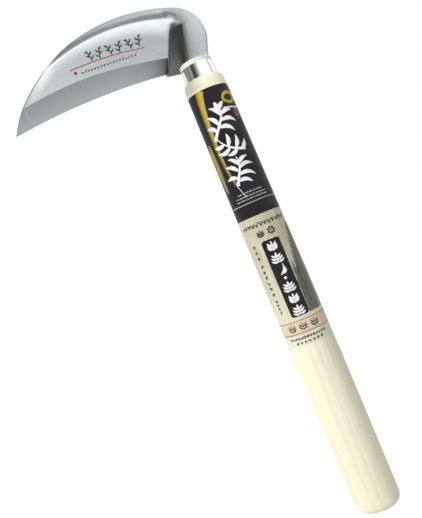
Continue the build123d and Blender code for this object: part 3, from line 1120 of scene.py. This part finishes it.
def build_lower_label():
    pale = (0.75, 0.715, 0.565)
    cream = film("cream_film", (0.53, 0.50, 0.37), (0.62, 0.595, 0.46), 0.12, 0.35, pale)
    build_wrap("label_lower", LOWER_SPAN, cream, "lower_label")
    build_grass()

    panel = Print("cream_film", on_film)
    panel.panel((-5.8, 129.8), (6.0, 179.7), 1.6)
    dark = ink("panel_ink", (0.006, 0.006, 0.006), (0.012, 0.012, 0.010), 0.45, specular=0.25)
    panel.lay("label_lower_panel", dark, 2)

    white = Print("cream_film", on_film)
    for z in (167.6, 148.8, 133.6):
        ear(white, (0.1, z), 6.2, 8.2, 0.8)
    for z in (175.2, 141.0):
        sprout(white, (0.1, z), 6.0, 0.95)
    white.leaf((-1.8, 156.9), (1.6, 163.2), 1.5, -0.22)
    white.leaf((0.2, 157.2), (2.6, 160.4), 1.1, -0.2)
    white.dot((0.1, 154.4), 0.9)
    white.lay("label_lower_white", bpy.data.materials["white_ink"], 3)

    fine = Print("cream_film", on_film)
    tuft_row(fine, (-14.6, 190.6), (14.6, 190.6), 3.1, 12, 0.5)
    sprout(fine, (-3.9, 184.5), 4.6, 0.75)
    flower(fine, (3.3, 184.6), 2.8)
    for heights, size in ((COLUMN_HEIGHTS, 2.2), (LOW_COLUMN_HEIGHTS, 1.7)):
        for z in heights:
            tuft(fine, (-11.7, z), size, 0.55)
            tuft(fine, (-11.7, z), size * 0.8, 0.45)
    for x in (-8.6, -1.2, 6.4):
        sprout(fine, (x, ROSE_HEIGHT), 5.2, 0.5)
    tuft_row(fine, (-12.4, 116.7), (10.6, 116.7), 1.9, 13, 0.42)
    tuft_row(fine, (-8.8, 113.9), (7.4, 113.9), 1.8, 7, 0.42)
    brown = ink("brown_ink", (0.045, 0.042, 0.026), (0.075, 0.07, 0.045))
    fine.lay("label_lower_fine_print", brown, 1.5)

    edge = pi * taper_radius(ROSE_HEIGHT) - BAND_GAP
    rose = Print("cream_film", on_film)
    rose.band(ROSE_HEIGHT, edge, 7.4, 6)
    rose.lay("label_lower_rose_band", ink("rose_ink", (0.72, 0.59, 0.45), (0.69, 0.56, 0.43)), 0.6)

    red = Print("cream_film", on_film)
    for z in (127.3, 119.5):
        red.band(z, edge, 0.42)
    red.lay("label_lower_red_lines", ink("red_ink", (0.42, 0.10, 0.07), (0.36, 0.10, 0.07)))


# ---- print on the blade

# The small sprig that is etched six times along the web, every second one mirrored.
ETCHED_STEM = [(-0.6, -3.2), (0.0, 0.0), (0.9, 3.4)]
ETCHED_LEAVES = [
    ((-0.3, -1.6), (-2.6, 0.2)),
    ((-0.1, -0.8), (2.5, 0.6)),
    ((0.2, 1.0), (-1.9, 3.0)),
    ((0.4, 1.6), (2.6, 3.4)),
]


def build_blade_print():
    dark = Print("stainless_plate", on_blade)
    for i, centre in enumerate(np.linspace((-59.6, 329.6), (-27.4, 326.8), 6)):
        way = np.array([1 if i % 2 else -1, 1])
        dark.stroke([centre + way * p for p in ETCHED_STEM], 0.7, 8, 1)
        for foot, tip in ETCHED_LEAVES:
            dark.leaf(centre + way * foot, centre + way * tip, 1.05, 0.15 * way[0])
    etch = ink("etch_ink", (0.025, 0.028, 0.03), (0.05, 0.053, 0.056), 0.5)
    dark.lay("blade_print_dark", etch, 1.5)

    small = Print("stainless_plate", on_blade)
    tuft_row(small, (-67.6, 322.3), (-32.6, 320.0), 1.8, 18, 0.36)
    small.lay("blade_print_small", ink("grey_ink", (0.11, 0.12, 0.13), (0.17, 0.18, 0.19), 0.5), 1.5)

    red = Print("stainless_plate", on_blade)
    line = [(-74.6, 326.0), (-62.3, 325.9), (-47.1, 325.0), (-36.0, 323.6), (-25.7, 321.9)]
    red.stroke(line, 0.58, 60, 1)
    red.dot((-72.0, 323.4), 1.1)
    signal = ink("signal_red_ink", (0.38, 0.02, 0.035), (0.32, 0.02, 0.03), 0.45)
    red.lay("blade_print_red", signal, 1.5)


# ---- stage, light and camera

LEAN = 22.66
CAMERA_DISTANCE = 419.0
VIEW_CENTRE = (-38.2, 182.2)
HALF_HEIGHT = 162.2
SENSOR = 36.0
FLOOR_SIZE = 1200.0
FLOOR_Z = -0.2
FLOOR_GLOW = 0.7


def build_stage():
    m = Material("pale_floor", Roughness=0.9)
    tone = m.mix(m.noise(m.stretched(3, 3, 3), detail=2), (0.90, 0.90, 0.90), (0.93, 0.93, 0.93))
    glow = m.part(m.add("ShaderNodeLightPath", output="Is Camera Ray"), FLOOR_GLOW)
    m.put(Base_Color=tone, Emission_Color=(1.0, 1.0, 1.0), Emission_Strength=glow)
    corners = [(x * FLOOR_SIZE, y * FLOOR_SIZE, FLOOR_Z) for x, y in ((-1, -1), (1, -1), (1, 1), (-1, 1))]
    floor = linked("floor", corners, [(0, 1, 2, 3)], [m.data])
    floor.visible_glossy = False


# What metal mirrors, as brightness by angle: by azimuth just above the horizon and higher up, a
# factor on both by elevation, and the table below the horizon. The strength carries it past white.
LEVEL_BANDS = [
    (-180, 0.5), (-60, 0.5), (-30, 0.62), (-10, 0.62), (-6, 0.56), (-3, 0.47),
    (0, 0.43), (3, 0.36), (7, 0.30), (14, 0.30), (40, 0.6), (180, 0.5),
]
RAISED_BANDS = [
    (-180, 0.6), (-130, 0.6), (-110, 0.38), (-92, 0.20), (-82, 0.10), (-75, 0.11), (-65, 0.23),
    (-57, 0.19), (-47, 0.04), (-30, 0.04), (-23, 0.11), (-16, 0.20), (-8, 0.36), (0, 0.50), (8, 0.74),
    (18, 0.84), (76, 0.84), (83, 0.28), (90, 0.34), (98, 0.74), (140, 0.6), (180, 0.6),
]
LIFT_BANDS = [
    (-90, 1.0), (2, 1.0), (6, 0.8), (10, 0.55), (14, 0.7), (18, 0.95), (24, 1.05), (90, 1.05),
]
TABLE_BANDS = [(-90, 0.24), (-37, 0.24), (-25, 1.0), (0, 1.0)]
# Elevations over which the table turns into the level bands, and those into the raised ones.
TABLE_END = (-8, -4)
LEVEL_END = (9, 16)
STUDIO_STRENGTH = 1.6


def build_world():
    """White to the camera, a soft dome for diffuse light, and a studio for reflections."""
    world = bpy.data.worlds.new("studio")
    bpy.context.scene.world = world
    world.use_nodes = True
    w = Tree(world.node_tree, "Generated")
    x, y, z = (w.coordinate(axis) for axis in range(3))

    def bands(turn, span, stops):
        """Grey by angle: a turn of 0..1 stands for a span of degrees, with 0 in the middle."""
        node = w.nodes.new("ShaderNodeValToRGB")
        w.links.new(turn, node.inputs[0])
        points = node.color_ramp.elements
        for i, (angle, level) in enumerate(stops):
            at = angle / span + 0.5
            point = points[0] if i == 0 else points[-1] if i == len(stops) - 1 else points.new(at)
            point.position = at
            point.color = (level, level, level, 1)
        return node.outputs[0]

    def blend(elevations, below, above):
        low, high = (elevation / 180 + 0.5 for elevation in elevations)
        return w.mix(w.ramp(height, low, high, interpolation_type="SMOOTHSTEP"), below, above)

    def light(colour, strength):
        return w.add("ShaderNodeBackground", {0: colour, 1: strength})

    def choose(ray, when_off, when_on):
        flag = w.add("ShaderNodeLightPath", output=ray)
        return w.add("ShaderNodeMixShader", {0: flag, 1: when_off, 2: when_on})

    # Azimuth is 0 straight at the viewer's side and negative to the left; elevation is 0 level.
    azimuth = w.math("ARCTAN2", x, w.part(y, -1.0))
    around = w.math("ADD", w.math("DIVIDE", azimuth, 2 * pi), 0.5)
    height = w.math("ADD", w.math("DIVIDE", w.math("ARCSINE", z), pi), 0.5)
    sides = blend(LEVEL_END, bands(around, 360, LEVEL_BANDS), bands(around, 360, RAISED_BANDS))
    sides = w.times(sides, bands(height, 180, LIFT_BANDS))
    studio = light(blend(TABLE_END, bands(height, 180, TABLE_BANDS), sides), STUDIO_STRENGTH)
    # The dome is brighter towards the blade's side.
    dome = light((1.0, 0.99, 0.97), w.math("ADD", w.part(x, -0.36), 0.41))
    white = light((1.0, 1.0, 1.0), 1.0)
    shade = choose("Is Camera Ray", choose("Is Glossy Ray", dome, studio), white)
    w.plug(w.nodes["World Output"].inputs["Surface"], shade)


def area_light(name, place, target, size, power):
    """A square light that looks at a target. Metal doesn't mirror it."""
    data = bpy.data.lights.new(name, "AREA")
    data.shape = "SQUARE"
    data.size = size * MM
    data.energy = power
    light = bpy.data.objects.new(name, data)
    light.location = Vector(place) * MM
    light.rotation_mode = "QUATERNION"
    light.rotation_quaternion = (Vector(target) - Vector(place)).to_track_quat("-Z", "Y")
    light.visible_glossy = False
    bpy.context.scene.collection.objects.link(light)


def build_lights():
    centre = (-30, 0, 190)
    area_light("key", (-560, -690, 560), centre, 600, 5.35)
    area_light("top", (0, 100, 1100), centre, 900, 3.0)
    area_light("fill", (500, -700, 100), centre, 700, 0.15)
    area_light("glint", (85, -75, 335), (0, 0, 290), 30, 0.04)
    area_light("back", (200, 800, 500), centre, 700, 2.5)


def build_camera():
    data = bpy.data.cameras.new("camera")
    data.sensor_width = SENSOR
    data.lens = SENSOR / 2 / (HALF_HEIGHT / CAMERA_DISTANCE)
    data.clip_start, data.clip_end = 0.01, 20.0
    camera = bpy.data.objects.new("camera", data)
    x, z = VIEW_CENTRE
    c, s = cos(radians(LEAN)), sin(radians(LEAN))
    # Columns are the camera's right, up and backward directions.
    turn = Matrix(((c, s, 0), (0, 0, -1), (-s, c, 0)))
    camera.matrix_world = Matrix.Translation(Vector((x, -CAMERA_DISTANCE, z)) * MM) @ turn.to_4x4()
    bpy.context.scene.collection.objects.link(camera)
    bpy.context.scene.camera = camera


# ---- the object


def dress(node, material):
    """Gives a CAD node's object its finished material."""
    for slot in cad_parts[node].material_slots:
        slot.material = material


build_blade(stainless_web(), ground_bevel(), honed_edge(), sheared_rim())
build_blade_print()
dress("handle", pale_wood())
dress("ferrule", bright_plating())
dress("tang_pin", pin_steel())
build_upper_label()
build_lower_label()

build_stage()
build_world()
build_lights()
build_camera()
bpy.context.scene.view_settings.view_transform = "Standard"
bpy.context.scene.view_settings.look = "None"
